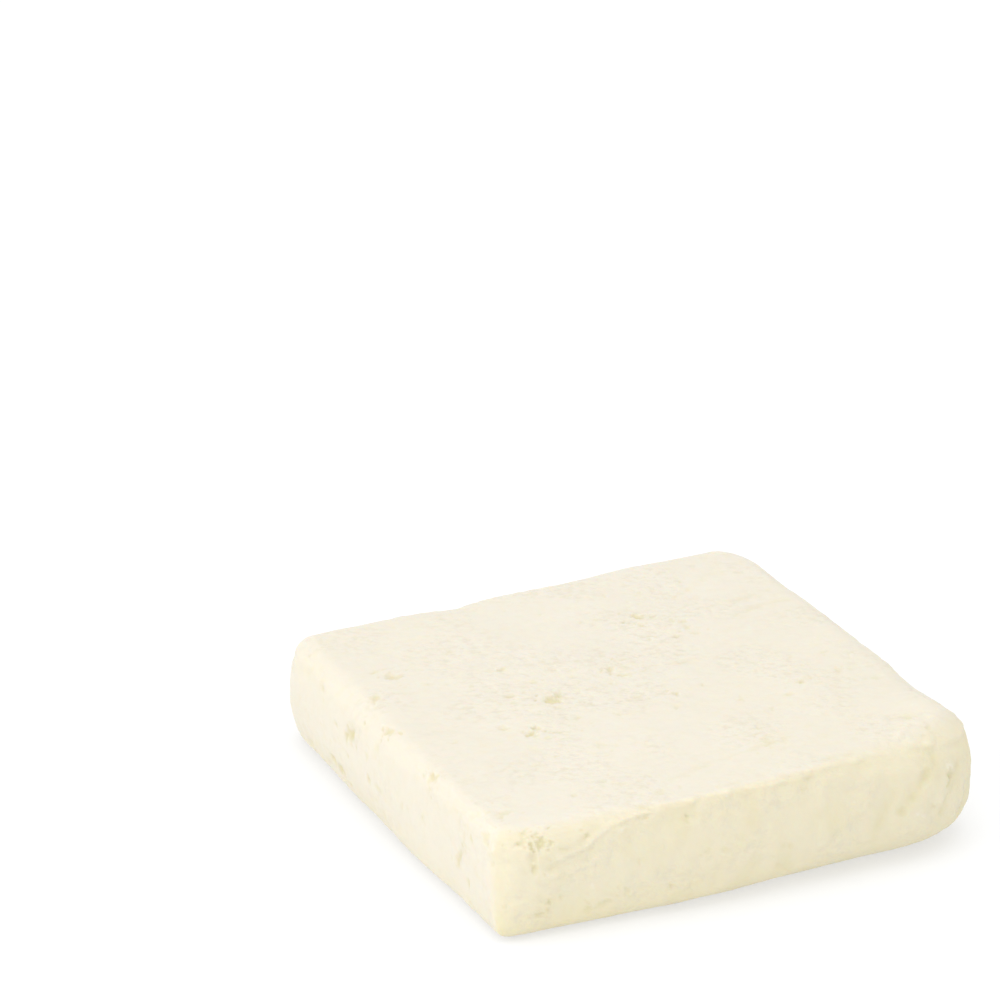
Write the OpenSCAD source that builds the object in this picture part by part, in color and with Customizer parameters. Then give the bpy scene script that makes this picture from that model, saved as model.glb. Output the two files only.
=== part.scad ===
// A block of white brined cheese, as it comes out of its vacuum bag.
// The block is one solid: a low slab on four soft corners, whose sides bulge
// where the bag pressed them, and whose top is dished and swollen a little.
// X runs along the near side, Y towards the far side and Z up. The origin is
// at the middle of the flat foot. Lists of four go round the block as it is
// seen from above: near left, near right, far right, far left. Lists of four
// sides go round the same way: near, right, far, left.

/* [Block] */
// Length along X, between the short sides before they bulge
block_l = 96; // [80:1:120]
// Width along Y, between the long sides before they bulge
block_w = 87; // [70:1:105]
// Thickness at the middle of the block
block_h = 22.2; // [16:0.1:30]

/* [Corners from above] */
// How far each upright corner is rounded along X
corner_x = [10.3, 15.9, 7, 3.4]; // [2:0.1:20]
// How far each upright corner is rounded along Y
corner_y = [6, 9.2, 11, 6.9]; // [2:0.1:20]
// Share of that rounding which is left at the foot
foot_share = [0.35, 1, 1, 1]; // [0.2:0.05:1]
// How far each side bows outwards at its middle
side_bow = [1.3, 0.3, -0.6, 0.8]; // [-2:0.1:3]
// How far the near right corner stands off the rectangle, in X and Y
near_right_shift = [-1.2, -1.4]; // [-4:0.1:4]
// How far the far right corner stands off the rectangle, in X and Y
far_right_shift = [-0.6, 0]; // [-4:0.1:4]

/* [Edges] */
// How far the top edge is rounded at each corner
top_round = [4.2, 4.5, 3.4, 3.3]; // [1:0.1:7]
// How far the top edge is rounded along the middle of each side
side_top_round = [1.6, 3.8, 3.3, 3.8]; // [0.8:0.1:7]
// How far the foot edge is rounded at each corner
foot_round = [3, 6.8, 3.8, 3.1]; // [1:0.1:7]
// How far each upright corner bulges at half its height
belly = [0.6, 3.4, 0.7, 2.4]; // [0:0.1:5]
// How much further out each corner stands at its foot than at its top
lean = [-0.7, 1.3, 0, -0.6]; // [-3:0.1:3]

/* [Top] */
// How much thicker the right end is than the left end
rise_right = 2.8; // [0:0.1:5]
// How much thicker the far side is than the near side
rise_far = 0.3; // [0:0.1:3]
// Height of the long low waves over the top
wave_height = 0.15; // [0:0.05:0.5]
// Length of one of those waves
wave_length = 31; // [15:1:60]
// Depth of the shallow waves along the sides
side_wave = 0.12; // [0:0.02:0.4]

/* [Fineness] */
// Steps round each upright corner
corner_steps = 14; // [6:1:18]
// Steps along each side
side_steps = 20; // [8:1:26]
// Rings up each rounded edge
edge_steps = 7; // [4:1:9]
// Rings up the side between the rounded edges
wall_steps = 5; // [2:1:8]
// Rings from the top edge to the middle of the top
top_steps = 9; // [4:1:12]

/* [Hidden] */

half_l = block_l / 2;
half_w = block_w / 2;
tightest_corner = 1.2;
// Share of a side's length over which a corner's rounding turns into the side's
side_ramp = 0.3;

// Soft swells and dips of the top: X, Y, spread and height.
// The first two lie on the far edge, the others by the near right corner.
swells = [
    [-15, half_w, 5, -1],
    [-28, half_w, 7.7, 0.2],
    [half_l, -23, 6.7, -0.6],
    [half_l - 4, -34.5, 7.7, 0.8]
];

corners = [
    [-half_l, -half_w],
    [half_l, -half_w] + near_right_shift,
    [half_l, half_w] + far_right_shift,
    [-half_l, half_w]
];

function before(i) = (i + 3) % 4;
function after(i) = (i + 1) % 4;
function unit(v) = v / norm(v);
function ease(t) = t * t * (3 - 2 * t);
function mix(a, b, t) = a + (b - a) * t;
function total(list, i = 0) = i == len(list) ? 0 : list[i] + total(list, i + 1);

// Direction from one corner of a four-sided outline to another.
function heading(outline, i, j) = unit(outline[j] - outline[i]);

// The outline with each corner moved outwards by its own amount.
function grown(grow) = [for (i = [0:3])
    corners[i] - (heading(corners, i, before(i)) + heading(corners, i, after(i))) * grow[i]];

// A corner's reach along X or Y, whichever side it is asked for.
function reach(i, side, grow, lift) =
    let (whole = side % 2 == 0 ? corner_x[i] : corner_y[i])
    max(whole * mix(foot_share[i], 1, ease(lift)) + grow[i], tightest_corner);

// Height of the top face over a point of the plan.
function top_z(p) = block_h
    + rise_right * p[0] / block_l
    + rise_far * p[1] / block_w
    + wave_height * sin(360 * p[0] / wave_length) * cos(360 * p[1] / wave_length + 40)
    + total([for (s = swells)
        s[3] * exp(-(pow(p[0] - s[0], 2) + pow(p[1] - s[1], 2)) / pow(s[2], 2))]);

// Points of one corner: a quarter of an ellipse that touches both its sides.
function corner_run(outline, i, grow, lift) =
    let (to_before = heading(outline, i, before(i)) * reach(i, before(i), grow, lift))
    let (to_after = heading(outline, i, after(i)) * reach(i, i, grow, lift))
    [for (k = [0:corner_steps])
        let (turn = 90 * k / corner_steps)
        outline[i] + to_before * (1 - sin(turn)) + to_after * (1 - cos(turn))];

// How much a side's own rounding counts along it: not at all at its corners.
function side_weight(t) = ease(min(1, t / side_ramp)) * ease(min(1, (1 - t) / side_ramp));

function foot_at(i, t) = mix(foot_round[i], foot_round[after(i)], ease(t));
function top_at(i, t) =
    mix(mix(top_round[i], top_round[after(i)], ease(t)), side_top_round[i], side_weight(t));

// How far a side stands off the line between its corners at one station.
function side_fill(i, t, s, grow) =
    let (lift = level(s, foot_at(i, t), top_at(i, t), block_h) / block_h)
    mix(swelling(i, lift), swelling(after(i), lift), t)
    - inset(s, foot_at(i, t), top_at(i, t))
    - mix(grow[i], grow[after(i)], t);

// Points between two corners: a side that bows out and waves a little.
function side_run(outline, i, grow, lift, s) =
    let (along = heading(outline, i, after(i)))
    let (outwards = [along[1], -along[0]])
    let (from = outline[i] + along * reach(i, i, grow, lift))
    let (to = outline[after(i)] - along * reach(after(i), i, grow, lift))
    [for (k = [1:side_steps - 1])
        let (t = k / side_steps)
        let (wave = side_wave * sin(360 * 2.5 * t + 70 * i + 120 * lift) * sin(180 * t))
        let (bow = side_bow[i] * pow(sin(180 * t), 2))
        mix(from, to, t) + outwards * (bow + wave + side_fill(i, t, s, grow))];

// One station's outline, all the way round.
function round_the_block(grow, lift, s) =
    let (outline = grown(grow))
    [for (i = [0:3], p = concat(
        corner_run(outline, i, grow, lift), side_run(outline, i, grow, lift, s))) p];

// Where each point of an outline lies: its corner, and its share of the way
// from there to the next corner.
spots = [for (i = [0:3])
    each concat(
        [for (k = [0:corner_steps]) [i, 0]],
        [for (k = [1:side_steps - 1]) [i, k / side_steps]])];

// The side's profile runs from 0 to 3: the foot's rounding to 1, the wall to
// 2 and the top's rounding to 3.
stations = concat(
    [for (k = [0:edge_steps]) k / edge_steps],
    [for (k = [1:wall_steps]) 1 + k / (wall_steps + 1)],
    [for (k = [0:edge_steps]) 2 + k / edge_steps]);

function level(s, foot, top, height) =
    s <= 1 ? foot * (1 - cos(90 * s))
    : s <= 2 ? mix(foot, height - top, s - 1)
    : height - top * (1 - sin(90 * (s - 2)));

function inset(s, foot, top) =
    s <= 1 ? foot * (1 - sin(90 * s))
    : s <= 2 ? 0
    : top * (1 - cos(90 * (s - 2)));

// Height of one station at a corner, as a share of the thickness.
function lift_at(s, i) = level(s, foot_round[i], top_round[i], block_h) / block_h;

// How far a corner stands out at a share of the thickness: its belly and lean.
function swelling(i, lift) = belly[i] * 4 * lift * (1 - lift) + lean[i] * (0.5 - lift);

// How far each corner stands off its place at one station.
function corner_growth(s) = [for (i = [0:3])
    swelling(i, lift_at(s, i)) - inset(s, foot_round[i], top_round[i])];

function wall_ring(s) =
    let (plan = round_the_block(corner_growth(s), lift_at(s, 0), s))
    [for (n = [0:len(plan) - 1])
        let (foot = foot_at(spots[n][0], spots[n][1]))
        let (top = top_at(spots[n][0], spots[n][1]))
        [plan[n][0], plan[n][1], level(s, foot, top, top_z(plan[n]))]];

wall_rings = [for (s = stations) wall_ring(s)];
rim = wall_rings[len(wall_rings) - 1];
round_count = len(rim);

// The top: the rim drawn in towards the middle, ring by ring.
function top_ring(share) = [for (p = rim)
    let (q = [p[0], p[1]] * share) [q[0], q[1], top_z(q)]];

top_rings = [for (k = [1:top_steps - 1]) top_ring(1 - k / top_steps)];
rings = concat(wall_rings, top_rings);
ring_points = [for (r = rings, p = r) p];

function span(axis) = [for (p = ring_points) p[axis]];
function middle(axis) = (max(span(axis)) + min(span(axis))) / 2;

crown_index = len(ring_points);
points = concat(ring_points, [[0, 0, top_z([0, 0])]]);

function at(r, n) = r * round_count + n % round_count;

// Faces are listed clockwise as they are seen from outside.
foot_face = [[for (n = [0:round_count - 1]) n]];
band_faces = [for (r = [0:len(rings) - 2], n = [0:round_count - 1])
    each [
        [at(r, n), at(r + 1, n + 1), at(r, n + 1)],
        [at(r, n), at(r + 1, n), at(r + 1, n + 1)]
    ]];
crown_faces = [for (n = [0:round_count - 1])
    [at(len(rings) - 1, n), crown_index, at(len(rings) - 1, n + 1)]];

module feta_block() {
    color([0.93, 0.89, 0.76])
        translate([-middle(0), -middle(1), 0])
            polyhedron(points, concat(foot_face, band_faces, crown_faces), convexity = 4);
}

feta_block();
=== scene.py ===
"""Looks of an unwrapped block of white brined cheese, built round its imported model.

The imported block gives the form. This file wraps a fine even grid onto it, and
carves what a real block carries: holes left by gas and whey, crumbs, the torn
lip along one edge, soft folds from the vacuum bag and fine drag lines. Then it
sets the finish, the floor, the lights and the camera.
"""

from __future__ import annotations

import logging
import math
import random
from collections.abc import Sequence
from dataclasses import dataclass, field
from enum import Enum

import bmesh
import bpy
import numpy as np
from mathutils import Matrix, Vector, noise
from mathutils.bvhtree import BVHTree


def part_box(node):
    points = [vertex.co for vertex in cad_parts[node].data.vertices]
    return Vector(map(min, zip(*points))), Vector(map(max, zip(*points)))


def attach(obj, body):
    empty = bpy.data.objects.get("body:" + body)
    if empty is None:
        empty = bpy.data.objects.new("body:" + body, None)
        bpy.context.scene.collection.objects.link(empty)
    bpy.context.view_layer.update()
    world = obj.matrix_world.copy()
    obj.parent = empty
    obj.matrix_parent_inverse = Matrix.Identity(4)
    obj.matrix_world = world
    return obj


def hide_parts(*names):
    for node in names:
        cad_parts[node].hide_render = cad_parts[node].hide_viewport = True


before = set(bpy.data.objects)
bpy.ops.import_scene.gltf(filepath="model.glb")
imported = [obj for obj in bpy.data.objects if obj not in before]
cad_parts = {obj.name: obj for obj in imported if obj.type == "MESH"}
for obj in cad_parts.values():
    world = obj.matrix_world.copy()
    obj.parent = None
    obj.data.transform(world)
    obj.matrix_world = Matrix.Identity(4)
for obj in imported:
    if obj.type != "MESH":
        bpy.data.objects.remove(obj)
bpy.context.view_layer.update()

log = logging.getLogger("feta_block")
MM = 0.001
NODE = "feta_block"
BODY = "root"


def ease(low: float, high: float, value: np.ndarray) -> np.ndarray:
    """Rise smoothly from 0 at low to 1 at high.

    Args:
        low: Value where the rise starts.
        high: Value where it ends. It may be below low, for a fall.
        value: Values to map.

    Returns:
        The mapped values, from 0 to 1.
    """
    share = np.clip((value - low) / (high - low), 0.0, 1.0)
    return share * share * (3.0 - 2.0 * share)


class Side(Enum):
    """The block's six sides, by outward direction and the two axes that run along each."""

    TOP = ((0, 0, 1), 0, 1)
    UNDER = ((0, 0, -1), 0, 1)
    NEAR = ((0, -1, 0), 0, 2)
    FAR = ((0, 1, 0), 0, 2)
    LEFT = ((-1, 0, 0), 1, 2)
    RIGHT = ((1, 0, 0), 1, 2)

    @property
    def outward(self) -> np.ndarray:
        """The side's outward direction."""
        return np.array(self.value[0], float)

    @property
    def axes(self) -> tuple[int, int]:
        """The two axes that run along the side."""
        return self.value[1:]

    def on(self, points: np.ndarray) -> np.ndarray:
        """Copy out the two coordinates of points along the side."""
        return points[:, self.axes]

    def place(self, u: float, v: float, half: np.ndarray, middle: np.ndarray) -> np.ndarray:
        """Put a point just outside the side.

        Args:
            u: First coordinate along the side.
            v: Second coordinate along the side.
            half: Half the block's size, on each axis.
            middle: The block's middle.

        Returns:
            The point, in the same units.
        """
        point = middle + self.outward * half
        point[list(self.axes)] = u, v
        return point


@dataclass(frozen=True)
class Hole:
    """A hole or, with a negative depth, a nub. Sizes and places are in millimetres."""

    side: Side
    u: float
    v: float
    length: float
    width: float
    depth: float
    turn: float = 0.0


@dataclass(frozen=True)
class Line:
    """A lip, fold or drag line that follows points along a side, in millimetres.

    A lip stands up on one side of its line and drops away steeply on the other.
    A line with a negative height is a groove.
    """

    side: Side
    points: tuple[tuple[float, float], ...]
    height: float
    reach: float
    drop: float = 0.0
    wander: float = 0.0


HOLES = (
    # The left side: clean round holes, a slit along the foot and slits near the corner.
    Hole(Side.LEFT, 14, 14.5, 4.4, 2.4, 1.2, -20),
    Hole(Side.LEFT, 3, 20, 3.2, 1.7, 0.9, 10),
    Hole(Side.LEFT, 22, 6, 2.4, 1.6, 0.8, 10),
    Hole(Side.LEFT, 18.5, 5.5, 3.2, 1.6, 1.1, 10),
    Hole(Side.LEFT, 5.5, 9.5, 1.5, 1.1, 0.8, 0),
    Hole(Side.LEFT, 1, 9.5, 3.4, 1.2, 0.35, 10),
    Hole(Side.LEFT, -15.5, 19.5, 3.2, 1.5, 0.9, 15),
    Hole(Side.LEFT, 27.5, 17.5, 2.2, 1.2, 0.4, 20),
    Hole(Side.LEFT, 20.5, 10.5, 2.2, 0.9, 0.4, -15),
    Hole(Side.LEFT, 33, 4, 2.2, 1.6, 0.4, 0),
    Hole(Side.LEFT, 6.5, 13.5, 2.0, 1.2, 0.3, 0),
    Hole(Side.LEFT, 3, 17, 2.8, 1.4, 0.25, 90),
    Hole(Side.LEFT, -28.5, 10.5, 5.0, 1.2, 0.8, 123),
    Hole(Side.LEFT, -37, 18, 3.4, 1.8, 0.4, 60),
    Hole(Side.LEFT, -39, 17, 2.6, 0.8, -0.3, 80),
    Hole(Side.LEFT, -31.5, 7, 1.6, 0.7, 0.7, 90),
    Hole(Side.LEFT, -15, 12, 1.2, 0.8, 0.5, 0),
    Hole(Side.LEFT, -10, 11, 1.4, 1.0, 0.3, 0),
    Hole(Side.LEFT, -28, 17, 3.6, 0.8, 0.25, 90),
    Hole(Side.LEFT, -30, 15.5, 3.0, 0.8, 0.2, 85),
    # The top: torn pits with tails, and clusters of small ones.
    Hole(Side.TOP, -38.5, 20.5, 3.0, 2.6, 0.8, -28),
    Hole(Side.TOP, -45, 14, 3.2, 1.4, 0.7, 62),
    Hole(Side.TOP, -34, 15, 1.8, 1.6, 0.4, -28),
    Hole(Side.TOP, -24.5, 25, 1.6, 1.5, 0.4, -28),
    Hole(Side.TOP, -19.5, 14.5, 2.2, 1.2, 0.6, -28),
    Hole(Side.TOP, -23, 4, 2.2, 1.4, 0.5, -28),
    Hole(Side.TOP, -23.5, 1.5, 1.5, 1.2, 0.4, 0),
    Hole(Side.TOP, -16.5, -0.5, 3.0, 2.6, 1.2, -28),
    Hole(Side.TOP, -14.5, 1, 1.8, 1.6, 0.8, -28),
    Hole(Side.TOP, -17, -4, 2.2, 0.9, 0.4, -28),
    Hole(Side.TOP, -26, -10.5, 1.8, 1.7, 1.1, 0),
    Hole(Side.TOP, -24.5, -8.5, 1.4, 1.6, 0.8, 0),
    Hole(Side.TOP, -24.5, -11, 1.4, 1.3, -0.4, 0),
    Hole(Side.TOP, -21.5, -12, 3.0, 1.0, 0.4, -28),
    Hole(Side.TOP, -24, -13, 1.6, 0.9, 0.5, -28),
    Hole(Side.TOP, -29.5, -6.5, 2.6, 1.4, 0.5, -28),
    Hole(Side.TOP, -16.5, 7, 1.2, 1.4, 0.4, 0),
    Hole(Side.TOP, -11, -5, 1.3, 1.0, 0.6, -28),
    Hole(Side.TOP, -16, -9, 1.1, 0.9, 0.4, 0),
    Hole(Side.TOP, -1.5, 5.5, 3.0, 1.5, 0.7, 62),
    Hole(Side.TOP, -0.5, 2.5, 2.6, 1.0, 0.6, -28),
    Hole(Side.TOP, -4, 0.5, 0.9, 1.0, 0.5, 0),
    Hole(Side.TOP, 13.5, 22.5, 2.4, 1.8, 0.9, -28),
    Hole(Side.TOP, 16, 21.5, 2.2, 1.2, 0.5, -28),
    Hole(Side.TOP, 13, 26, 1.4, 1.0, 0.3, 0),
    Hole(Side.TOP, 11, 21, 1.7, 1.3, 0.4, -28),
    Hole(Side.TOP, 12.5, 19, 1.1, 1.4, 0.6, 0),
    Hole(Side.TOP, 11, 13.5, 1.0, 1.4, 0.5, 0),
    Hole(Side.TOP, 18.5, 18, 1.3, 1.1, 0.5, 0),
    Hole(Side.TOP, 20, 17, 1.6, 1.0, 0.4, -28),
    Hole(Side.TOP, 19.5, 14.5, 2.2, 1.2, 0.5, 62),
    Hole(Side.TOP, 17.5, 15.5, 1.6, 1.4, -0.3, 0),
    Hole(Side.TOP, 16, 12, 1.8, 1.4, 0.6, -28),
    Hole(Side.TOP, 20, 11.5, 1.8, 0.9, 0.4, -28),
    Hole(Side.TOP, 4.5, -8.5, 0.9, 1.3, 0.9, 0),
    Hole(Side.TOP, -2.5, -6.5, 2.2, 0.9, 0.4, -28),
    Hole(Side.TOP, 4, 2, 1.8, 0.9, 0.3, -28),
    Hole(Side.TOP, 10.5, -7.5, 1.3, 1.3, 0.4, 0),
    Hole(Side.TOP, -8.5, -11, 1.4, 0.9, 0.4, -28),
    Hole(Side.TOP, 12, 33.5, 1.4, 1.5, 0.3, 0),
    Hole(Side.TOP, 33.5, 37.5, 1.8, 1.0, 0.3, -28),
    Hole(Side.TOP, 22.5, -18, 2.0, 1.5, 0.35, -28),
    Hole(Side.TOP, 14, -15.5, 1.2, 1.0, 0.4, 0),
    Hole(Side.TOP, 17, -21.5, 1.6, 1.2, 0.35, 0),
    Hole(Side.TOP, 11, -26.5, 1.6, 1.2, 0.45, 0),
    Hole(Side.TOP, 9.5, -28.5, 1.4, 1.2, 0.4, 0),
    Hole(Side.TOP, 10, -32, 4.0, 1.6, 0.3, 62),
    Hole(Side.TOP, 37.5, -6, 1.2, 1.1, 0.4, 0),
    Hole(Side.TOP, 36, -13, 2.6, 1.0, 0.35, -28),
    Hole(Side.TOP, 41, -19, 2.6, 1.1, 0.35, -28),
    Hole(Side.TOP, 38.5, -39.5, 1.8, 1.2, 0.4, 30),
    Hole(Side.TOP, -43, -34, 2.8, 1.8, 0.4, -28),
    Hole(Side.TOP, -30, -34, 1.2, 1.2, 0.4, 0),
    Hole(Side.TOP, -23, -32, 1.6, 0.9, 0.35, -28),
    Hole(Side.TOP, -17, -19.5, 2.2, 1.8, 0.3, -28),
    Hole(Side.TOP, -30.5, -21.5, 2.2, 1.1, 0.35, -28),
    Hole(Side.TOP, -21, -42.5, 3.0, 1.3, 0.3, -10),
    Hole(Side.TOP, -16, -40, 2.6, 1.6, 0.25, -10),
    Hole(Side.TOP, -3, -42.5, 3.0, 1.2, 0.25, 0),
    # The near side: torn holes by the near left corner, and a few low down.
    Hole(Side.NEAR, -40.5, 18.5, 2.6, 2.2, 1.2, 60),
    Hole(Side.NEAR, -42.2, 16.2, 3.8, 1.6, 0.35, 90),
    Hole(Side.NEAR, -42.0, 14, 1.8, 1.5, 0.45, 90),
    Hole(Side.NEAR, -44, 18.5, 2.4, 1.1, 0.6, 0),
    Hole(Side.TOP, -43, -40.5, 1.4, 1.0, 0.5, 0),
    Hole(Side.NEAR, -40.5, 5, 2.2, 0.8, 0.8, 18),
    Hole(Side.NEAR, -39, 7.5, 1.0, 0.9, 0.7, 0),
    Hole(Side.NEAR, -31.5, 4.5, 1.4, 1.2, 0.5, 90),
    Hole(Side.NEAR, -28.5, 5, 2.2, 1.6, 0.6, 20),
    Hole(Side.NEAR, -32, 18.5, 1.8, 1.5, 0.5, 0),
    Hole(Side.NEAR, -31, 9, 1.2, 0.9, -0.3, 0),
    Hole(Side.NEAR, -24.5, 6, 1.8, 1.0, 0.6, 90),
    Hole(Side.NEAR, -16, 6, 1.4, 1.0, 0.5, 0),
    Hole(Side.NEAR, -15.5, 8.5, 2.0, 0.8, 0.35, 90),
    Hole(Side.NEAR, -22.5, 12, 1.3, 0.9, 0.35, 0),
    Hole(Side.NEAR, -10, 12, 1.8, 1.0, 0.45, -20),
    Hole(Side.NEAR, -6.5, 11.5, 1.5, 0.9, 0.35, 0),
    Hole(Side.NEAR, -13.5, 19, 1.3, 1.0, 0.6, 0),
    Hole(Side.NEAR, 9.5, 19.5, 1.3, 0.9, 0.6, 0),
    Hole(Side.NEAR, 40.5, 15.5, 2.4, 1.6, 1.0, 80),
    Hole(Side.NEAR, 40, 17.2, 1.2, 0.9, -0.3, 0),
    # The far and right sides and the underside carry the same kind of holes.
    Hole(Side.FAR, -31, 13, 2.6, 1.8, 1.3, 30),
    Hole(Side.FAR, -12, 8, 2.2, 1.2, 0.9, 0),
    Hole(Side.FAR, 6, 16, 2.8, 1.2, 0.9, 15),
    Hole(Side.FAR, 24, 9, 1.8, 1.4, 1.0, 60),
    Hole(Side.FAR, 33, 17, 1.6, 1.0, 0.6, 0),
    Hole(Side.RIGHT, -12, 9, 2.4, 1.6, 1.2, 40),
    Hole(Side.RIGHT, 4, 17, 2.0, 1.2, 0.8, 10),
    Hole(Side.RIGHT, 17, 7, 3.0, 1.2, 0.9, 20),
    Hole(Side.RIGHT, 28, 14, 1.8, 1.4, 0.9, 0),
    Hole(Side.UNDER, -24, 14, 3.2, 1.8, 0.9, 10),
    Hole(Side.UNDER, 8, -17, 2.6, 1.6, 0.9, 40),
    Hole(Side.UNDER, 26, 20, 2.2, 1.4, 0.7, 0),
    Hole(Side.UNDER, -9, -30, 2.4, 1.2, 0.7, 80),
)

LINES = (
    # The torn lip along the near top edge, in three lengths, with the grooves beside it.
    Line(Side.NEAR, ((-40, 15), (-37.5, 15.5), (-33, 16.5), (-31.5, 17.5), (-28.5, 19), (-25.5, 20),
                     (-22, 20.5), (-18.5, 20.6)), 0.3, 0.6, 0.26, 0.2),
    Line(Side.NEAR, ((-19, 21), (-16, 21.5), (-12.5, 21.3), (-10.5, 21.6), (-7, 21.6),
                     (-3.5, 21.7), (1, 21.3), (5.5, 21.4), (9.5, 21.1)), 0.32, 0.6, 0.36, 0.15),
    Line(Side.NEAR, ((9, 22), (13, 22), (16, 22), (19.5, 21.7), (22, 21.9), (25.5, 21.9),
                     (28.5, 21.4), (30, 20.6)), 0.3, 0.6, 0.32, 0.15),
    Line(Side.NEAR, ((-38, 16.6), (-34, 17.3), (-32, 18.4), (-29, 20)), -0.2, 0.6, 0.0, 0.2),
    Line(Side.NEAR, ((5, 20.8), (8.5, 20.8), (12, 21)), -0.2, 0.5, 0.0, 0.1),
    Line(Side.TOP, ((13.5, -42), (17.5, -41.8), (20.5, -41.9), (23, -41.4)), -0.22, 0.6, 0.0, 0.1),
    # Smears below the lip's left end.
    Line(Side.NEAR, ((-41, 12.3), (-37.5, 12.4), (-33, 12.5), (-31, 13.5), (-28.5, 14.6)),
         0.15, 0.7, 0.1, 0.2),
    Line(Side.NEAR, ((-41, 13.8), (-37, 14), (-32, 14.6), (-29, 16)), -0.14, 0.6, 0.0, 0.2),
    Line(Side.NEAR, ((-26, 17.5), (-18, 18.6), (-8, 19), (0, 18.6)), -0.12, 1.1, 0.0, 0.4),
    # Slanting folds where the bag gathered round the near right corner.
    Line(Side.NEAR, ((38.5, 20.5), (36, 18.5), (33.5, 15.5), (31, 13.5), (28.5, 10)),
         -0.46, 1.3, 0.0, 0.3),
    Line(Side.NEAR, ((42, 20), (40.5, 17), (39, 14), (37, 10.5)), 0.34, 1.1, 0.0, 0.3),
    Line(Side.NEAR, ((43.5, 18), (41.7, 14), (40, 12), (38, 8)), -0.24, 1.2, 0.0, 0.3),
    Line(Side.NEAR, ((36, 16), (33.5, 12.5), (31.5, 9), (30, 6)), 0.28, 1.1, 0.0, 0.3),
    Line(Side.NEAR, ((28.5, 16.5), (26.5, 12.5), (24.5, 8)), -0.24, 1.4, 0.0, 0.3),
    Line(Side.NEAR, ((46, 16), (43.5, 11), (41.5, 7)), 0.32, 1.1, 0.0, 0.3),
    Line(Side.NEAR, ((47, 13), (45, 8), (43, 5)), -0.3, 0.9, 0.0, 0.3),
    Line(Side.RIGHT, ((-40, 4), (-37, 10), (-34, 15), (-30, 20)), 0.28, 2.0, 0.0, 0.4),
    Line(Side.RIGHT, ((-33, 3), (-29, 9), (-26, 16)), -0.24, 1.8, 0.0, 0.4),
    # The pinched knob on the near right corner of the top, and the edge below it.
    Line(Side.NEAR, ((31, 21.8), (33.5, 22), (36, 21.7), (40.5, 21), (43, 21), (46, 20.2)),
         0.3, 1.0, 0.4, 0.1),
    Line(Side.RIGHT, ((-44, 20.5), (-39, 20.6), (-33, 21.2)), 0.26, 1.1, 0.3, 0.1),
    Line(Side.TOP, ((31, -40.5), (34, -38.5), (37, -37.3), (40, -37.3), (43, -38.5)),
         0.26, 0.9, 0.0, 0.2),
    Line(Side.TOP, ((33.5, -34.5), (37, -35.3), (40, -36)), -0.26, 0.8, 0.0, 0.2),
    # A smear on the left side.
    Line(Side.LEFT, ((40, 17), (36, 18.4), (31, 18.6), (27, 18.2)), -0.16, 1.2, 0.0, 0.3),
    # Long drag lines that sweep across the top, and two short creases.
    Line(Side.TOP, ((23.5, 14.5), (32, 17.8), (39, 19.7), (45, 20)), 0.15, 0.7, 0.0, 0.2),
    Line(Side.TOP, ((32, 20), (38, 21.2), (43, 21.6)), -0.15, 0.7, 0.0, 0.2),
    Line(Side.TOP, ((29, 14), (35.5, 16.5), (40, 17), (45, 16.5)), -0.17, 0.7, 0.0, 0.2),
    Line(Side.TOP, ((21.5, 11), (24, 11.5), (31, 12.2), (38, 13.5)), 0.15, 0.7, 0.0, 0.2),
    Line(Side.TOP, ((16, 4.3), (20, 6), (27.5, 8), (35, 9.5)), 0.14, 0.8, 0.0, 0.2),
    Line(Side.TOP, ((22, 26), (32, 31), (40, 37)), -0.12, 0.8, 0.0, 0.3),
    Line(Side.TOP, ((-14, -37), (-4, -34), (6, -33.5), (16, -31)), -0.14, 0.8, 0.0, 0.4),
    Line(Side.TOP, ((8, 3), (11.5, 2.1), (14.5, 1.9)), -0.22, 0.5, 0.0, 0.1),
    Line(Side.TOP, ((-10, 6), (-7, 5.3)), -0.18, 0.5, 0.0, 0.1),
    # The sides that face away are handled in the same way.
    Line(Side.FAR, ((-34, 19.5), (-22, 20.6), (-8, 20.2), (4, 21), (15, 20.4), (28, 21.4)),
         0.3, 1.8, 0.3, 0.4),
    Line(Side.FAR, ((-38, 6), (-34, 12), (-32, 18)), -0.24, 1.8, 0.0, 0.4),
    Line(Side.RIGHT, ((-18, 20.8), (-4, 21.6), (9, 21), (24, 21.8)), 0.26, 1.6, 0.2, 0.4),
    Line(Side.UNDER, ((-34, -12), (-10, -6), (12, -7), (35, 2)), -0.14, 1.0, 0.0, 0.5),
    Line(Side.UNDER, ((-30, 24), (-6, 29), (20, 27)), 0.14, 1.2, 0.0, 0.5),
)

class Mark(Enum):
    """What the block's mesh notes at each point, for its material to read: painted shade in holes
    and grooves, painted highlight on lips, ridges and nubs, the yellow and painted shade of the
    sides and foot, and where the grain is coarse.
    """

    HOLLOW = "hollow"
    RAISED = "raised"
    PRESSED = "pressed"
    GRAINY = "grainy"


@dataclass(frozen=True)
class Pattern:
    """An uneven relief. Sizes and height are in millimetres, and the turn about Z is in degrees.

    The offset gives each pattern its own part of the noise. A ridged one has creases.
    """

    scale: tuple[float, float, float]
    height: float
    turn: float
    offset: float
    ridged: bool = False


# Relief of the whole surface, from its broad swells down to its specks.
SWELLS = Pattern((19.0, 15.0, 11.0), 0.10, 0.0, 3.1)
LUMPS = Pattern((8.0, 4.5, 4.5), 0.06, -12.0, 11.7)
SMEARS = Pattern((3.2, 3.2, 6.5), 0.3, 0.0, 17.3)
CRESTS = Pattern((4.5, 1.8, 2.4), 0.08, -20.0, 27.3)
SWEEPS = Pattern((12.0, 1.7, 2.4), 0.045, 19.0, 41.9, ridged=True)
CRUMBS = Pattern((2.4, 2.4, 2.0), 0.16, 0.0, 51.0)
SPECKS = Pattern((2.0, 1.2, 1.3), 0.09, -28.0, 63.0)
# Where the specks are coarse. Its height only scales its values.
PATCHES = Pattern((11.0, 9.0, 9.0), 1.0, 0.0, 95.0)
RIDGE_MEAN = 0.2


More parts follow.
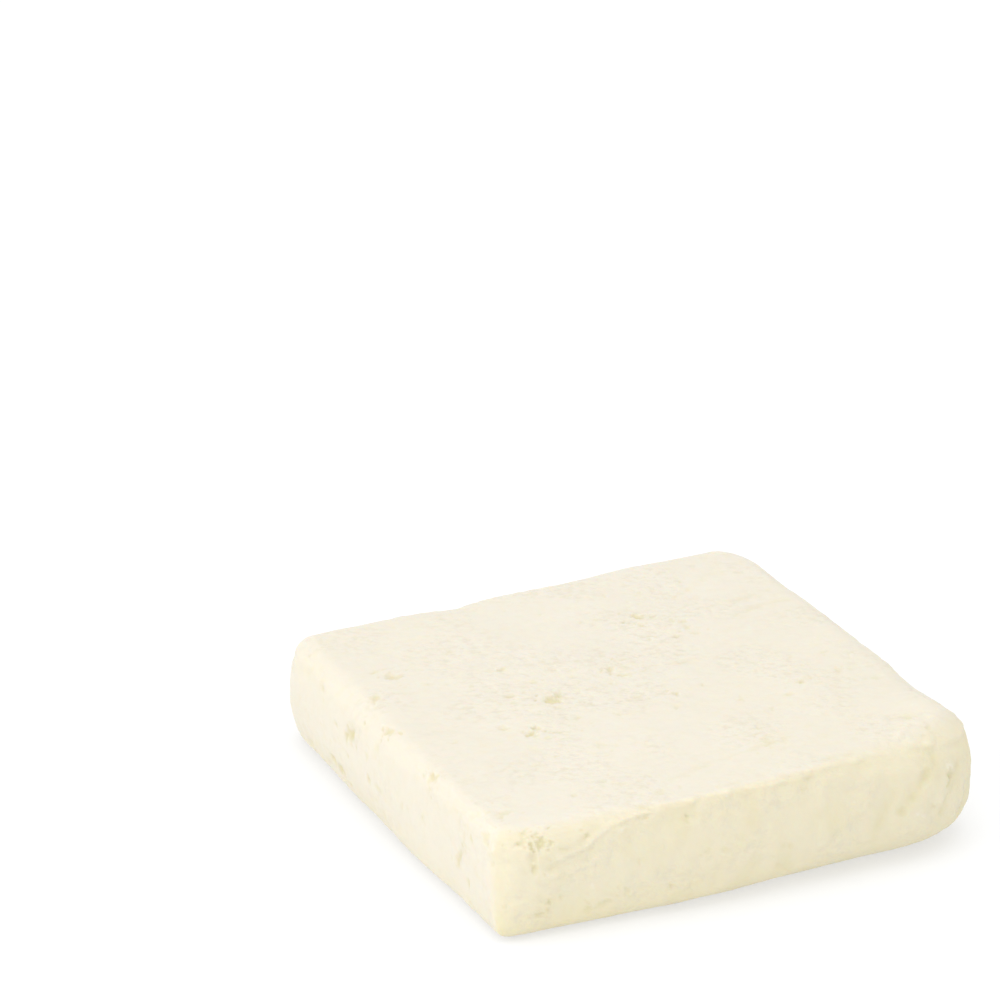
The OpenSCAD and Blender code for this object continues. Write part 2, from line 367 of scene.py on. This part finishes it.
@dataclass(frozen=True)
class Texture:
    """A noise texture: repeats to a metre, finer layers and their strength, turn in degrees."""

    scale: tuple[float, float, float]
    detail: float
    roughness: float
    turn: float = 0.0


@dataclass(frozen=True)
class Span:
    """A smooth, clamped map from one range of values to another."""

    low: float
    high: float
    out_low: float
    out_high: float


class Graph:
    """A new material's node tree, with the few kinds of node that the finishes need."""

    def __init__(self, name: str) -> None:
        """Make the material.

        Args:
            name: The material's name.
        """
        self.material = bpy.data.materials.new(name)
        self.material.use_nodes = True
        self.nodes = self.material.node_tree.nodes
        self.links = self.material.node_tree.links
        self.shader = self.nodes["Principled BSDF"]

    def set(self, values: dict[str, float | tuple[float, ...]]) -> None:
        """Set constants on the shader's own sockets."""
        for name, value in values.items():
            self.shader.inputs[name].default_value = value

    def feed(self, name: str, value: bpy.types.NodeSocket) -> None:
        """Link a value to one of the shader's sockets."""
        self.links.new(value, self.shader.inputs[name])

    def noise(self, texture: Texture) -> bpy.types.NodeSocket:
        """Add a noise texture on the piece's own coordinates and return its value."""
        place = self.nodes.new("ShaderNodeTexCoord").outputs["Object"]
        mapping = self.nodes.new("ShaderNodeMapping")
        mapping.vector_type = "TEXTURE"
        mapping.inputs["Rotation"].default_value = (0.0, 0.0, math.radians(texture.turn))
        mapping.inputs["Scale"].default_value = tuple(1.0 / s for s in texture.scale)
        pattern = self.nodes.new("ShaderNodeTexNoise")
        pattern.inputs["Scale"].default_value = 1.0
        pattern.inputs["Detail"].default_value = texture.detail
        pattern.inputs["Roughness"].default_value = texture.roughness
        self.links.new(place, mapping.inputs["Vector"])
        self.links.new(mapping.outputs["Vector"], pattern.inputs["Vector"])
        return pattern.outputs["Fac"]

    def mark(self, mark: Mark) -> bpy.types.NodeSocket:
        """Add a reader of one of the mesh's marks and return its value."""
        node = self.nodes.new("ShaderNodeAttribute")
        node.attribute_name = mark.value
        return node.outputs["Fac"]

    def span(self, value: bpy.types.NodeSocket, span: Span) -> bpy.types.NodeSocket:
        """Map a value from one range to another and return it."""
        node = self.nodes.new("ShaderNodeMapRange")
        node.interpolation_type = "SMOOTHSTEP"
        for name, number in (("From Min", span.low), ("From Max", span.high),
                             ("To Min", span.out_low), ("To Max", span.out_high)):
            node.inputs[name].default_value = number
        self.links.new(value, node.inputs["Value"])
        return node.outputs["Result"]

    def mix(self, share: bpy.types.NodeSocket,
            first: bpy.types.NodeSocket | tuple[float, float, float],
            second: tuple[float, float, float]) -> bpy.types.NodeSocket:
        """Mix two colours.

        Args:
            share: How much of the second colour shows, from 0 to 1.
            first: A colour or a socket.
            second: A colour.

        Returns:
            The mixed colour.
        """
        node = self.nodes.new("ShaderNodeMix")
        node.data_type = "RGBA"
        factor, start, end = (node.inputs[index] for index in (0, 6, 7))
        self.links.new(share, factor)
        if isinstance(first, tuple):
            start.default_value = (*first, 1.0)
        else:
            self.links.new(first, start)
        end.default_value = (*second, 1.0)
        return node.outputs[2]

    def times(self, first: bpy.types.NodeSocket,
              second: bpy.types.NodeSocket) -> bpy.types.NodeSocket:
        """Multiply two values and return the product."""
        node = self.nodes.new("ShaderNodeMath")
        node.operation = "MULTIPLY"
        self.links.new(first, node.inputs[0])
        self.links.new(second, node.inputs[1])
        return node.outputs["Value"]

    def bump(self, height: bpy.types.NodeSocket, distance: float) -> bpy.types.NodeSocket:
        """Turn a height into fine relief and return the normal."""
        node = self.nodes.new("ShaderNodeBump")
        node.inputs["Strength"].default_value = 1.0
        node.inputs["Distance"].default_value = distance
        self.links.new(height, node.inputs["Height"])
        return node.outputs["Normal"]


@dataclass(frozen=True)
class CheeseFinish:
    """Moist satin paste: creamy white, with painted shade, darker and yellower, in its holes,
    grooves and fine pits; yellower near, right and far sides and foot, partly the rind's own yellow
    and partly painted shade; and painted highlights on lips, ridges and nubs.
    """

    paste: tuple[float, float, float] = (0.700, 0.656, 0.556)
    # The yellower tone of the sides and foot, partly the rind's own and partly painted shade; also
    # the colour of the flecks.
    pressed: tuple[float, float, float] = (0.697, 0.638, 0.440)
    # Painted shade in holes and grooves, darker and yellower; also the colour of the blotchy
    # stains.
    hollow: tuple[float, float, float] = (0.655, 0.595, 0.375)
    # Painted shade in the fine pits of the grain.
    shade: tuple[float, float, float] = (0.640, 0.590, 0.470)
    # Paler paste for random patches, and painted highlight on lips, ridges and nubs.
    pale_patch_and_highlight: tuple[float, float, float] = (0.740, 0.700, 0.605)
    cloud: Texture = Texture((75.0, 75.0, 75.0), 3.0, 0.5)
    fleck: Texture = Texture((260.0, 420.0, 420.0), 3.0, 0.6)
    grain: Texture = Texture((600.0, 800.0, 700.0), 2.0, 0.55, -28.0)
    blotch: Texture = Texture((150.0, 150.0, 95.0), 3.0, 0.6)
    cloud_share: Span = Span(0.4, 0.65, 0.0, 0.2)
    fleck_share: Span = Span(0.52, 0.75, 0.0, 0.25)
    pit_shade_share: Span = Span(0.54, 0.3, 0.0, 0.55)
    stain_share: Span = Span(0.46, 0.68, 0.0, 0.45)
    roughness: Span = Span(0.3, 0.7, 0.46, 0.64)
    grain_depth: float = 0.00018
    specular: float = 0.35
    ior: float = 1.42
    subsurface: float = 0.35
    subsurface_scale: float = 0.0018
    subsurface_radius: tuple[float, float, float] = (1.0, 0.62, 0.32)

    def material(self) -> bpy.types.Material:
        """Make the node tree and return the material."""
        graph = Graph("brined_cheese")
        fleck = graph.noise(self.fleck)
        grain = graph.noise(self.grain)
        hollow, raised, pressed, grainy = (graph.mark(mark) for mark in Mark)
        clouds = graph.span(graph.noise(self.cloud), self.cloud_share)
        pits = graph.times(graph.span(grain, self.pit_shade_share), grainy)
        stains = graph.times(graph.span(graph.noise(self.blotch), self.stain_share), pressed)
        colour = graph.mix(clouds, self.paste, self.pale_patch_and_highlight)
        # Painted yellow and shade on the sides and foot: partly the rind's own yellow, partly
        # painted shade.
        colour = graph.mix(pressed, colour, self.pressed)
        colour = graph.mix(graph.span(fleck, self.fleck_share), colour, self.pressed)
        # Painted shade in the fine pits of the grain.
        colour = graph.mix(pits, colour, self.shade)
        # Random blotchy stains, in the same darker yellow as the shade painted in holes.
        colour = graph.mix(stains, colour, self.hollow)
        # Painted highlight on lips, ridges and nubs.
        colour = graph.mix(raised, colour, self.pale_patch_and_highlight)
        # Painted shade in holes and grooves.
        colour = graph.mix(hollow, colour, self.hollow)
        graph.feed("Base Color", colour)
        graph.feed("Roughness", graph.span(fleck, self.roughness))
        graph.feed("Normal", graph.bump(graph.times(grain, grainy), self.grain_depth))
        graph.set({
            "Specular IOR Level": self.specular,
            "IOR": self.ior,
            "Subsurface Weight": self.subsurface,
            "Subsurface Scale": self.subsurface_scale,
            "Subsurface Radius": self.subsurface_radius,
        })
        return graph.material


@dataclass
class CheeseBlock:
    """The block of cheese. Sizes are in millimetres unless they say otherwise."""

    name: str = "cheese_block"
    finish: CheeseFinish = field(default_factory=CheeseFinish)
    # The even grid and how often it is relaxed.
    grid_step: float = 0.535
    relax_rounds: int = 6
    foot_height: float = 0.02
    # The small holes: their number, and how they spread, cluster and vary in size.
    seed: int = 7
    small_holes: int = 260
    scatter_share: tuple[float, float] = (0.93, 0.9)
    cluster_sizes: tuple[int, ...] = (1, 1, 2, 4)
    cluster_spread: tuple[float, float] = (1.6, 1.1)
    smallest_hole: float = 0.5
    size_spread: float = 0.45
    # Where the grain is coarse: never less than its least share, and more about the middle.
    least_grain: float = 0.3
    middle_grain: float = 0.3
    middle_reach: float = 30.0
    # How smooth the left side is, and how sharp its top edge gets towards the near end.
    left_smoothness: float = 0.75
    rim_sharpness: float = 0.6
    # A hole's soft edge and raised rim, as shares of its reach, and how deep it gets.
    hole_edge: tuple[float, float] = (0.25, 1.25)
    hole_rim: float = 1.4
    hole_rim_width: float = 0.3
    hole_rim_share: float = 0.1
    hole_depth_share: float = 0.55
    # How far a line wanders, and the groove below a lip.
    line_wander: float = 2.4
    groove_gap: float = 0.9
    groove_reach: float = 0.7

    def build(self) -> bpy.types.Object:
        """Make the block, carve it and dress it.

        Returns:
            The finished object.
        """
        low, high = (np.array(corner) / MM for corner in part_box(NODE))
        self.middle = (low + high) / 2
        self.half = (high - low) / 2
        shape = self._grid()
        self._wrap(shape)
        piece = self._object(shape)
        self._carve(piece.data)
        piece.data.materials.append(self.finish.material())
        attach(piece, BODY)
        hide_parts(NODE)
        return piece

    def _grid(self) -> bmesh.types.BMesh:
        """Make a box of even squares round the whole block."""
        shape = bmesh.new()
        bmesh.ops.create_cube(shape, size=2.0)
        bmesh.ops.scale(shape, vec=Vector(self.half * MM), verts=shape.verts)
        bmesh.ops.translate(shape, vec=Vector(self.middle * MM), verts=shape.verts)
        for axis in range(3):
            along = Vector((0.0, 0.0, 0.0))
            along[axis] = 1.0
            edges = [e for e in shape.edges
                     if abs((e.verts[1].co - e.verts[0].co).normalized().dot(along)) > 0.9]
            cuts = round(2 * self.half[axis] / self.grid_step) - 1
            bmesh.ops.subdivide_edges(shape, edges=edges, cuts=cuts, use_grid_fill=True)
        return shape

    def _wrap(self, shape: bmesh.types.BMesh) -> None:
        """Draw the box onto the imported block's form, then relax it above the foot."""
        target = bmesh.new()
        target.from_mesh(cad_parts[NODE].data)
        bmesh.ops.remove_doubles(target, verts=target.verts, dist=0.001 * MM)
        tree = BVHTree.FromBMesh(target)
        for vert in shape.verts:
            vert.co = tree.find_nearest(vert.co)[0]
        target.free()
        walls = [v for v in shape.verts if v.co.z > self.foot_height * MM]
        for _ in range(self.relax_rounds):
            bmesh.ops.smooth_vert(shape, verts=walls, factor=0.5, use_axis_x=True,
                                  use_axis_y=True, use_axis_z=True)
        bmesh.ops.recalc_face_normals(shape, faces=shape.faces)

    def _object(self, shape: bmesh.types.BMesh) -> bpy.types.Object:
        """Turn the shape into an object with smooth faces."""
        mesh = bpy.data.meshes.new(self.name)
        for face in shape.faces:
            face.smooth = True
        shape.to_mesh(mesh)
        shape.free()
        piece = bpy.data.objects.new(self.name, mesh)
        bpy.context.scene.collection.objects.link(piece)
        return piece

    def _carve(self, mesh: bpy.types.Mesh) -> None:
        """Move the surface in and out, and note where the material paints shade in holes and
        grooves, highlights on lips, ridges and nubs, and the yellower, shaded sides.
        """
        count = len(mesh.vertices)
        places = np.zeros(count * 3)
        mesh.vertices.foreach_get("co", places)
        self.points = places.reshape(-1, 3) / MM
        directions = np.zeros(count * 3, np.float32)
        mesh.vertex_normals.foreach_get("vector", directions)
        self.normals = directions.reshape(-1, 3).astype(float)
        corners = [tuple(face.vertices) for face in mesh.polygons]
        self.surface = BVHTree.FromPolygons(self.points.tolist(), corners)
        self.shift = np.zeros((count, 3))
        self.marks = {mark: np.zeros(count) for mark in Mark}
        self._relief()
        for line in LINES:
            self._line(line)
        for hole in (*HOLES, *self._scatter()):
            self._hole(hole)
        self._press()
        moved = self.points + self.shift
        moved = np.clip(moved, self.middle - self.half, self.middle + self.half)
        mesh.vertices.foreach_set("co", (moved * MM).ravel())
        for mark, values in self.marks.items():
            layer = mesh.attributes.new(mark.value, "FLOAT", "POINT")
            layer.data.foreach_set("value", values.astype(np.float32))
        mesh.update()

    def _sample(self, pattern: Pattern) -> np.ndarray:
        """Read a pattern's height at each point."""
        angle = math.radians(pattern.turn)
        cos, sin = math.cos(angle), math.sin(angle)
        x = self.points[:, 0] * cos + self.points[:, 1] * sin
        y = self.points[:, 1] * cos - self.points[:, 0] * sin
        place = np.stack([x, y, self.points[:, 2]], 1) / np.array(pattern.scale) + pattern.offset
        values = np.array([noise.noise(Vector(p)) for p in place])
        if pattern.ridged:
            values = np.abs(values) - RIDGE_MEAN
        return pattern.height * values

    def _relief(self) -> None:
        """Make the whole surface uneven, and note where its grain is coarse."""
        left = ease(0.3, 0.8, -self.normals[:, 0])
        upright = 1.0 - ease(0.3, 0.8, np.abs(self.normals[:, 2]))
        swept = ease(5.0, 40.0, self.points[:, 0] + 0.6 * self.points[:, 1])
        middle = np.exp(-(self.points[:, :2] ** 2).sum(1) / self.middle_reach ** 2)
        coarse = self.least_grain + ease(-0.25, 0.3, self._sample(PATCHES))
        coarse *= 1.0 + self.middle_grain * middle
        height = self._sample(SWELLS) + self._sample(LUMPS)
        height += self._sample(SMEARS) * upright * (1.0 - self.left_smoothness * left)
        height += self._sample(CRESTS) * (1.0 - swept) + self._sample(SWEEPS) * swept
        height += self._sample(SPECKS) * coarse * (1.0 + 0.5 * upright * (1.0 - left))
        height += self._left_rim()
        self.shift += self.normals * height[:, None]
        self.marks[Mark.GRAINY] = 0.75 * coarse * (1.0 + 0.1 * upright - 0.6 * left)

    def _left_rim(self) -> np.ndarray:
        """Height of the left top edge: crumbs, and a sharper edge towards the near end."""
        upwards = np.clip(self.normals[:, 2], 0.0, 1.0)
        leftwards = np.clip(-self.normals[:, 0], 0.0, 1.0)
        nearer = ease(8.0, -34.0, self.points[:, 1])
        sharper = self.rim_sharpness * (2.0 * upwards * leftwards) ** 2 * nearer
        rounded = ease(0.95, 0.8, np.abs(self.normals).max(1))
        return sharper + self._sample(CRUMBS) * rounded * ease(0.2, 0.7, leftwards)

    def _scatter(self) -> list[Hole]:
        """Choose the small holes all over the block, more of them in loose clusters."""
        draw = random.Random(self.seed)
        sides = list(Side)
        areas = [4 * self.half[side.axes[0]] * self.half[side.axes[1]] for side in sides]
        holes = []
        while len(holes) < self.small_holes:
            side = draw.choices(sides, areas)[0]
            u, v = (self.middle[axis] + draw.uniform(-share, share) * self.half[axis]
                    for axis, share in zip(side.axes, self.scatter_share))
            for _ in range(draw.choice(self.cluster_sizes)):
                size = self.smallest_hole + self.size_spread * draw.random() ** 2
                holes.append(Hole(side, u + draw.gauss(0, self.cluster_spread[0]),
                                  v + draw.gauss(0, self.cluster_spread[1]),
                                  size * draw.uniform(1.0, 1.9), size,
                                  size * draw.uniform(0.25, 0.6) * draw.choice((1, 1, 1, -0.5)),
                                  draw.uniform(-35, 20)))
        return holes

    def _spot(self, hole: Hole) -> tuple[np.ndarray, np.ndarray]:
        """Find where a hole meets the surface, and the surface's direction there."""
        aim = Vector(hole.side.place(hole.u, hole.v, self.half + 1.0, self.middle))
        centre, outward = self.surface.ray_cast(aim, Vector(-hole.side.outward))[:2]
        if centre is None:
            centre, outward = self.surface.find_nearest(aim)[:2]
        return np.array(centre), np.array(outward)

    @staticmethod
    def _axes(hole: Hole, outward: np.ndarray) -> tuple[np.ndarray, np.ndarray]:
        """Find the directions along and across a hole on a surface that looks outward."""
        first = np.zeros(3)
        first[hole.side.axes[0]] = 1.0
        first -= outward * first.dot(outward)
        first /= np.linalg.norm(first)
        second = np.cross(outward, first)
        if second[hole.side.axes[1]] < 0:
            second = -second
        turn = math.radians(hole.turn)
        return (first * math.cos(turn) + second * math.sin(turn),
                second * math.cos(turn) - first * math.sin(turn))

    def _hole(self, hole: Hole) -> None:
        """Sink one hole, or raise one nub, with a ragged outline and a slightly raised rim."""
        centre, outward = self._spot(hole)
        along, across = self._axes(hole, outward)
        reach = 1.6 * max(hole.length, hole.width)
        near = np.flatnonzero(((self.points - centre) ** 2).sum(1) < reach ** 2)
        away = self.points[near] - centre
        own = Vector((hole.u, hole.v, 7.0))
        ragged = np.array([noise.noise(Vector(p * 0.9) + own) + 0.6 * noise.noise(Vector(p * 2.1))
                           for p in self.points[near]])
        ring = np.hypot(2 * (away @ along) / hole.length, 2 * (away @ across) / hole.width)
        ring *= 1.0 + ragged
        facing = ease(0.0, 0.4, self.normals[near] @ outward)
        sunk = (1.0 - ease(*self.hole_edge, ring)) * facing
        rim = np.exp(-((ring - self.hole_rim) / self.hole_rim_width) ** 2)
        height = -self.hole_depth_share * hole.depth * sunk * (0.85 + 0.5 * ragged)
        height += self.hole_rim_share * abs(hole.depth) * rim * facing * (0.5 + ragged)
        self.shift[near] += outward * height[:, None]
        # A hole is noted for painted shade, a nub for a painted highlight.
        if hole.depth > 0:
            self.marks[Mark.HOLLOW][near] += sunk * min(1.0, 0.15 + 0.75 * hole.depth)
        else:
            self.marks[Mark.RAISED][near] += 0.5 * sunk

    @staticmethod
    def _trace(place: np.ndarray, points: Sequence[tuple[float, float]],
               ) -> tuple[np.ndarray, np.ndarray, np.ndarray]:
        """Follow a line past a set of places.

        Args:
            place: Two coordinates to a place.
            points: The line's points.

        Returns:
            Each place's distance from the line, the same with a sign that is positive on
            the line's left, and how far along the line it lies, from 0 to 1.
        """
        distance = np.full(len(place), np.inf)
        signed = np.zeros(len(place))
        share = np.zeros(len(place))
        starts = np.array(points[:-1], float)
        ends = np.array(points[1:], float)
        lengths = np.linalg.norm(ends - starts, axis=1)
        run = np.concatenate([[0.0], np.cumsum(lengths)]) / lengths.sum()
        for n, (start, end) in enumerate(zip(starts, ends)):
            step = end - start
            t = np.clip(((place - start) @ step) / (step @ step), 0.0, 1.0)
            gap = place - (start + t[:, None] * step)
            here = np.linalg.norm(gap, axis=1)
            closer = here < distance
            side = np.sign(step[0] * gap[:, 1] - step[1] * gap[:, 0])
            distance[closer] = here[closer]
            signed[closer] = (side * here)[closer]
            share[closer] = (run[n] + t * (run[n + 1] - run[n]))[closer]
        return distance, signed, share

    def _line(self, line: Line) -> None:
        """Raise or sink one line along a side."""
        place = line.side.on(self.points)
        wave = np.array([noise.noise(Vector((p[0] * 0.45, p[1] * 0.45, 5.0))) for p in place])
        place[:, 1] += self.line_wander * line.wander * wave
        distance, signed, share = self._trace(place, line.points)
        if line.drop:
            above = np.exp(-(np.clip(signed, 0, None) / line.reach) ** 2)
            below = 1.0 - ease(0.0, -0.55, signed)
            groove = np.exp(-((signed + self.groove_gap) / self.groove_reach) ** 2)
            profile = np.where(signed >= 0, above, below) - line.drop * groove
        else:
            profile = np.exp(-(distance / line.reach) ** 2)
        facing = ease(0.12, 0.5, self.normals @ line.side.outward)
        fade = ease(0.0, 0.12, share) * ease(1.0, 0.88, share)
        height = line.height * profile * fade * facing * (0.75 + 0.9 * wave)
        self.shift += self.normals * height[:, None]
        # Ridges are noted for a painted highlight, grooves for painted shade.
        height = np.where(distance < 3 * line.reach, height, 0.0)
        self.marks[Mark.RAISED] += 0.5 * np.clip(height, 0, None)
        self.marks[Mark.HOLLOW] += 1.4 * np.clip(-height, 0, None)

    def _press(self) -> None:
        """Note where the paste is yellower and darker: more on the near and right sides and along
        the foot, partly the rind's own yellow and partly painted shade, with a faint painted shade
        towards the near right.
        """
        near = ease(0.2, 0.68, -self.normals[:, 1])
        far = ease(0.25, 0.95, self.normals[:, 1])
        left = ease(0.25, 0.95, -self.normals[:, 0])
        right = ease(0.25, 0.95, self.normals[:, 0])
        # Darker and yellower towards the foot.
        foot = ease(9.0, 1.0, self.points[:, 2])
        # A faint painted shade that grows towards the near right of the block.
        shade_to_near_right = ease(0.0, 60.0, self.points[:, 0] - self.points[:, 1])
        self.marks[Mark.PRESSED] = (
            0.07 * shade_to_near_right + 0.55 * near + 0.5 * right + 0.4 * far + 0.05 * left
            + foot * (0.35 * (near + right + far) + 0.3 * left))
        for mark in (Mark.PRESSED, Mark.HOLLOW, Mark.RAISED):
            self.marks[mark] = np.clip(self.marks[mark], 0.0, 1.0)


def direction(azimuth: float, elevation: float) -> Vector:
    """Find the direction from the block to a place round it.

    Args:
        azimuth: Turn round the block from its near side, in degrees.
        elevation: Height above the horizon, in degrees.

    Returns:
        The direction, of length 1.
    """
    turn, rise = math.radians(azimuth), math.radians(elevation)
    return Vector((math.sin(turn) * math.cos(rise), -math.cos(turn) * math.cos(rise),
                   math.sin(rise)))


@dataclass(frozen=True)
class Lamp:
    """A square soft lamp that looks at the block, in metres, degrees and watts."""

    name: str
    azimuth: float
    elevation: float
    distance: float
    size: float
    power: float

    def hang(self) -> None:
        """Make the lamp and hang it in its place."""
        data = bpy.data.lights.new(self.name, "AREA")
        data.size = self.size
        data.energy = self.power
        lamp = bpy.data.objects.new(self.name, data)
        back = direction(self.azimuth, self.elevation)
        lamp.matrix_world = (Matrix.Translation(back * self.distance)
                             @ back.to_track_quat("Z", "Y").to_matrix().to_4x4())
        bpy.context.scene.collection.objects.link(lamp)


@dataclass(frozen=True)
class FloorFinish:
    """Matt pale floor that glows a little, as a lit backdrop does."""

    colour: tuple[float, float, float] = (0.50, 0.50, 0.495)
    glow: tuple[float, float, float] = (0.438, 0.442, 0.454)
    roughness: float = 0.8
    specular: float = 0.1

    def material(self) -> bpy.types.Material:
        """Make the material and return it."""
        graph = Graph("pale_floor")
        graph.set({
            "Base Color": (*self.colour, 1.0),
            "Roughness": self.roughness,
            "Specular IOR Level": self.specular,
            "Emission Color": (*self.glow, 1.0),
            "Emission Strength": 1.0,
        })
        return graph.material


@dataclass
class Studio:
    """Plain pale floor, soft light and the camera. Sizes are in metres, angles in degrees."""

    azimuth: float = -27.6
    elevation: float = 23.4
    roll: float = 1.8
    lens: float = 140.0
    distance: float = 0.7133
    stands_right: float = 0.0237
    stands_low: float = 0.0421
    clip: tuple[float, float] = (0.05, 30.0)
    floor_size: float = 6.0
    floor_finish: FloorFinish = field(default_factory=FloorFinish)
    world_strength: float = 0.995
    lamps: tuple[Lamp, ...] = (
        Lamp("left_lamp", -100.0, 25.0, 1.5, 1.1, 5.8),
        Lamp("top_lamp", -28.0, 88.0, 1.5, 1.1, 5.0),
        Lamp("front_lamp", -30.0, 10.0, 0.4, 0.25, 0.33),
    )

    def build(self) -> None:
        """Set up the floor, the lights, the camera and how colours are shown."""
        self._floor()
        self._world()
        for lamp in self.lamps:
            lamp.hang()
        self._camera()
        bpy.context.scene.view_settings.view_transform = "Standard"

    def _floor(self) -> None:
        """Lay the floor at the block's foot."""
        shape = bmesh.new()
        bmesh.ops.create_grid(shape, x_segments=1, y_segments=1, size=self.floor_size / 2)
        mesh = bpy.data.meshes.new("floor")
        shape.to_mesh(mesh)
        shape.free()
        floor = bpy.data.objects.new("floor", mesh)
        bpy.context.scene.collection.objects.link(floor)
        floor.data.materials.append(self.floor_finish.material())

    def _world(self) -> None:
        """Put an even white sky round the scene."""
        world = bpy.data.worlds.new("soft_room")
        world.use_nodes = True
        sky = world.node_tree.nodes["Background"]
        sky.inputs["Color"].default_value = (1.0, 1.0, 1.0, 1.0)
        sky.inputs["Strength"].default_value = self.world_strength
        bpy.context.scene.world = world

    def _camera(self) -> None:
        """Place the camera so that the block stands right of and below the view's middle."""
        low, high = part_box(NODE)
        middle = (low + high) / 2
        back = direction(self.azimuth, self.elevation)
        level = direction(self.azimuth + 90.0, 0.0)
        turned = Matrix.Rotation(math.radians(self.roll), 3, back)
        right = turned @ level
        up = turned @ back.cross(level)
        place = (middle + back * self.distance - right * self.stands_right
                 + up * self.stands_low)
        data = bpy.data.cameras.new("camera")
        data.lens = self.lens
        data.clip_start, data.clip_end = self.clip
        camera = bpy.data.objects.new("camera", data)
        turn = Matrix((right, up, back)).transposed()
        camera.matrix_world = Matrix.Translation(place) @ turn.to_4x4()
        bpy.context.scene.collection.objects.link(camera)
        bpy.context.scene.camera = camera


def main() -> None:
    """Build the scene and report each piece."""
    logging.basicConfig(level=logging.INFO, format="%(name)s: %(message)s")
    Studio().build()
    piece = CheeseBlock().build()
    piece.data.calc_loop_triangles()
    log.info("%s: %d triangles", piece.name, len(piece.data.loop_triangles))


if __name__ == "__main__":
    main()
